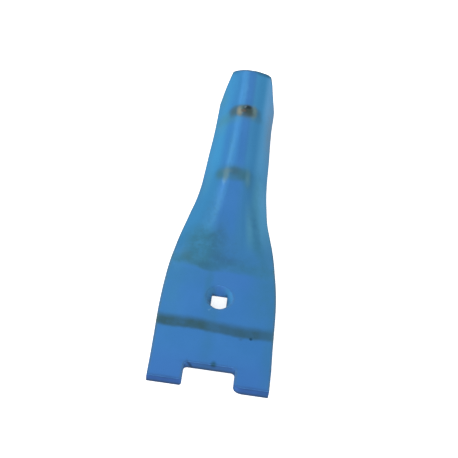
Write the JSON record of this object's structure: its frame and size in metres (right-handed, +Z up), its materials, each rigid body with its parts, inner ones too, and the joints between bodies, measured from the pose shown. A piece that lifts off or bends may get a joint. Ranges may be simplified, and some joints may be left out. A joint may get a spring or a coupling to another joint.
{
  "type": "plough skimmer",
  "caption": "Pressed steel guide plate of a plough skimmer: flat foot with square countersunk bolt hole and notched tip, flaring into a channel-shaped neck.",
  "frame": {"origin": "on the surface that the plate lies on, below the middle of its bounding box", "axes": "+X across the plate, +Y from the legs' tips to the neck's end, +Z up; the front faces up and the foot's front leans 3.5 degrees towards -Y"},
  "size_m": [0.0992, 0.339, 0.0307],
  "materials": {
    "blue_paint": "thin blue paint over rolled steel, with brown heat and rust marks across the plate"
  },
  "bodies": {
    "root": {"skimmer_plate": "blue_paint"}
  },
  "joints": []
}
